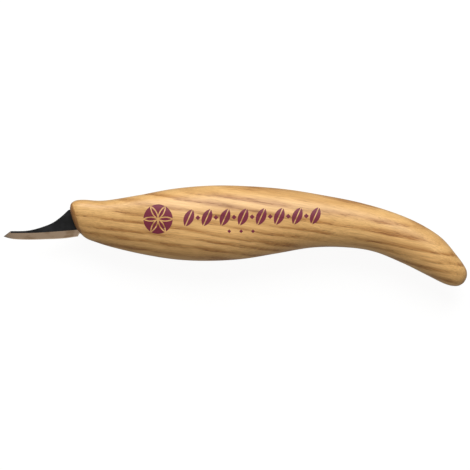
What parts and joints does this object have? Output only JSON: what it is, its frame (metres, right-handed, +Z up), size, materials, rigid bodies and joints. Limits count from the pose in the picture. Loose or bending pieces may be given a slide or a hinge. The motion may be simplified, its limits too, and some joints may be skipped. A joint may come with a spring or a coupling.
{
  "type": "carving knife",
  "caption": "Small fixed-blade carving knife with a narrow swept blade, ground on both faces, and a curved palm-sized ash handle.",
  "frame": {"origin": "centre of the knife's bounding rectangle, on the flat surface the knife lies on", "axes": "+X runs from the blade's tip to the handle's tail, +Y from the cutting edge to the spine, +Z up through the thickness of the knife lying on its side"},
  "size_m": [0.158, 0.0344, 0.02],
  "materials": {
    "wood": "satin",
    "blade_steel": "satin",
    "epoxy": "gloss",
    "ink": "matte"
  },
  "bodies": {
    "root": {"handle": "wood", "blade": "blade_steel", "tang_epoxy": "epoxy"}
  },
  "joints": []
}
